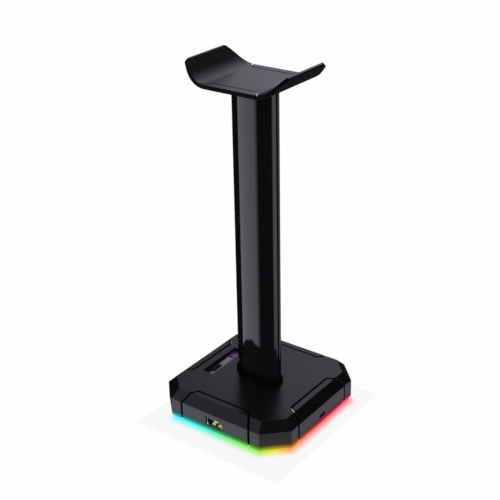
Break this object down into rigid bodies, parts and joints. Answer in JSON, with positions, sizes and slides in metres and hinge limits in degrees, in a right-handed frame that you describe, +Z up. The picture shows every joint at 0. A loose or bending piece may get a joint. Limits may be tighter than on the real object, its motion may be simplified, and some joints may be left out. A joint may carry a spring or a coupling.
{
  "type": "headphone stand",
  "caption": "Headphone stand: bevelled octagonal base with lit lower edge and USB ports, tall oval column, and a bent saddle with raised wings for the headband.",
  "frame": {"origin": "on the floor under the middle of the base", "axes": "+Z up; +X along the saddle from wing to wing, towards the power inlet; -Y is the front, with a USB port"},
  "size_m": [0.117, 0.117, 0.2758],
  "materials": {
    "shell": "satin black moulded plastic",
    "panel": "satin black moulded plastic, a shade lighter",
    "smoked_lens": "smoked, polished",
    "lit_bars": "lit violet",
    "light_guide": "frosted, lit from inside in rainbow colours",
    "cover": "fine grained",
    "foot_rubber": "matt",
    "plate_steel": "zinc plated",
    "screw_steel": "zinc plated",
    "board": "solder mask",
    "chip": "matt black",
    "capacitor_can": "satin",
    "light_white": "white package",
    "port_metal": "bright nickel",
    "port_tongue": "yellow green",
    "contact_gold": "gold plated",
    "button": "polished black",
    "column_gloss": "high gloss black lacquer on an aluminium extrusion",
    "collar": "gloss black",
    "saddle_carrier": "satin gloss black",
    "saddle_skin": "satin soft black",
    "saddle_strip": "satin soft black"
  },
  "bodies": {
    "stand": {"ballast_plate": "plate_steel", "base_housing": "shell", "board_capacitors": "capacitor_can", "board_screws": "screw_steel", "bottom_cover": "cover", "column_foot_plate": "plate_steel", "column_foot_screws": "screw_steel", "column_tube": "column_gloss", "cover_screws": "screw_steel", "foot_collar": "collar", "hub_chip": "chip", "inlet_shell": "port_metal", "inlet_tongue": "chip", "light_guide_ring": "light_guide", "light_modules": "light_white", "main_board": "board", "mode_switch": "chip", "rubber_foot_back_left": "foot_rubber", "rubber_foot_back_right": "foot_rubber", "rubber_foot_front_left": "foot_rubber", "rubber_foot_front_right": "foot_rubber", "saddle_pad": "saddle_skin", "saddle_plate": "saddle_carrier", "saddle_screws": "screw_steel", "saddle_strip_back": "saddle_strip", "saddle_strip_front": "saddle_strip", "side_panel_back": "panel", "side_panel_front": "panel", "side_panel_left": "panel", "side_panel_right": "panel", "usb_contacts_back": "contact_gold", "usb_contacts_front": "contact_gold", "usb_shell_back": "port_metal", "usb_shell_front": "port_metal", "usb_tongue_back": "port_tongue", "usb_tongue_front": "port_tongue", "window_lens": "smoked_lens", "window_light_bars": "lit_bars"},
    "button": {"mode_button": "button"}
  },
  "joints": [
    {"name": "mode_button_press", "type": "slide", "parent": "stand", "child": "button", "axis": [1, 0, 0], "range_m": [0, 0.0004], "stiffness_N_per_m": 1500, "springref_m": -0.0003}
  ]
}
